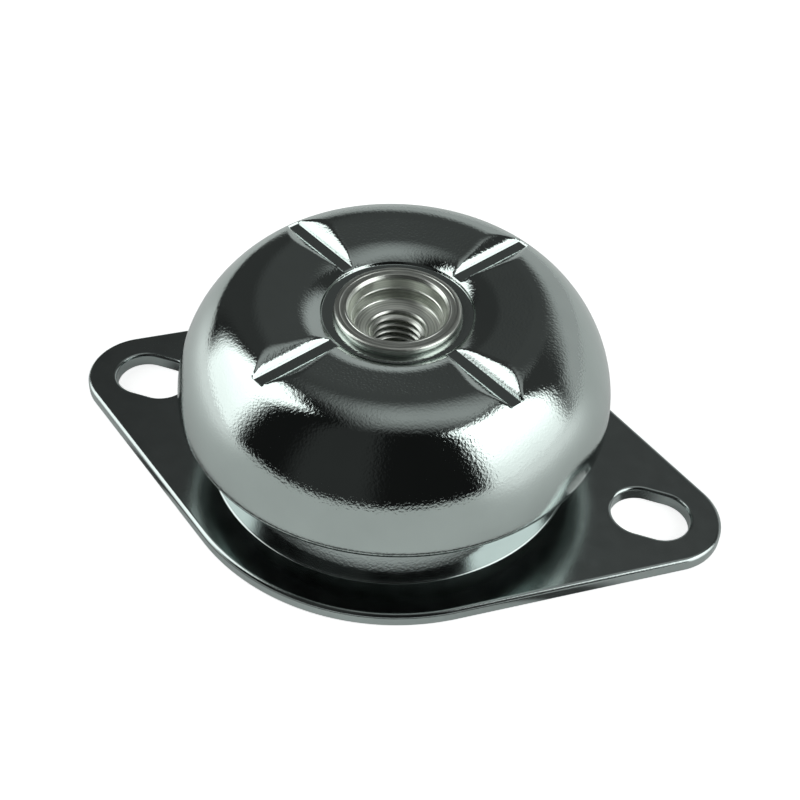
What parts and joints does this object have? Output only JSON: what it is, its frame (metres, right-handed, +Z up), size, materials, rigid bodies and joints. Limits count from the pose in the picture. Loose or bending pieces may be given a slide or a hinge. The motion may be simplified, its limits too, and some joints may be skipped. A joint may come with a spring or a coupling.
{
  "type": "rubber anti-vibration mount",
  "caption": "Bell-type anti-vibration mount: a domed steel bell with a threaded bush on a rubber spring, over a rhombic base plate with slotted ends.",
  "frame": {"origin": "centre of the base plate's underside, under the axis of the threaded bush, on the floor", "axes": "+Z up along the bush's axis; +X along the plate's long axis, through both slots"},
  "size_m": [0.151, 0.0986, 0.0452],
  "materials": {
    "plate_steel": "bright plated, fine grain",
    "rubber": "moulded matt",
    "bell_steel": "mirror plated",
    "bush_steel": "turned, zinc plated",
    "washer_steel": "zinc plated"
  },
  "bodies": {
    "base": {"base_plate": "plate_steel", "rubber_spring": "rubber"},
    "bell": {"bell_cover": "bell_steel", "core_bush": "bush_steel", "rebound_washer": "washer_steel"}
  },
  "joints": [
    {"name": "bell_travel", "type": "slide", "parent": "base", "child": "bell", "axis": [0, 0, 1], "range_m": [-0.005, 0.0015], "stiffness_N_per_m": 400000, "deforming": ["rubber_spring"]}
  ]
}
